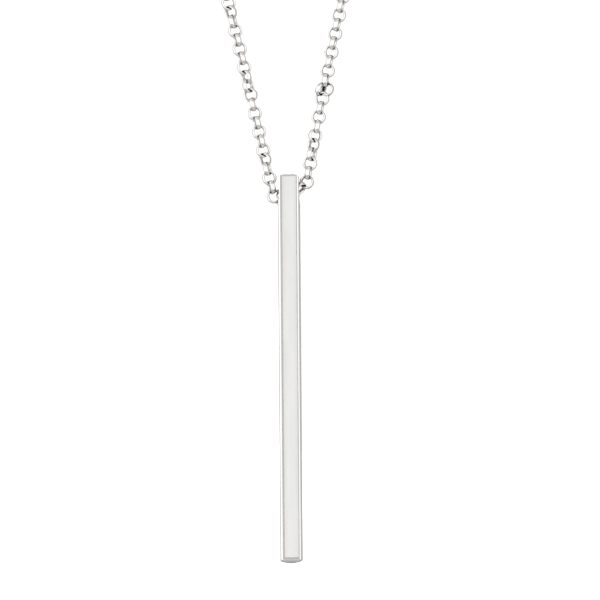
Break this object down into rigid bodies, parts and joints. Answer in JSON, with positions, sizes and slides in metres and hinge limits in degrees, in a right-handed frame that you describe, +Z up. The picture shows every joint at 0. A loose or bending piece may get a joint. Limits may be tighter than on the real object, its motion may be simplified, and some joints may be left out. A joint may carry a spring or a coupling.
{
  "type": "bar pendant on a rolo chain",
  "caption": "Slim square bar pendant with a satin front and a cross hole near its top, hanging upright on a fine rolo chain that closes with a spring ring clasp at the nape.",
  "frame": {"origin": "middle of the neck loop, at the height of the chain round the neck", "axes": "+Z up, -Y the front that the bar's satin face looks to, +X the right side as seen from the front"},
  "size_m": [0.1058, 0.0991, 0.2789],
  "materials": {
    "satin_silver": "fine satin front with polished edges",
    "polished_silver": "polished rhodium-bright silver"
  },
  "bodies": {
    "chain": {"chain_front": "polished_silver", "chain_back": "polished_silver", "clasp": "polished_silver", "end_ring": "polished_silver"},
    "pendant": {"bar_pendant": "satin_silver"}
  },
  "joints": [
    {"name": "pendant_swing", "type": "hinge", "parent": "chain", "child": "pendant", "pos_m": [0.0029, -0.044, -0.228], "axis": [1, 0, 0], "range_deg": [-90, 90]}
  ]
}
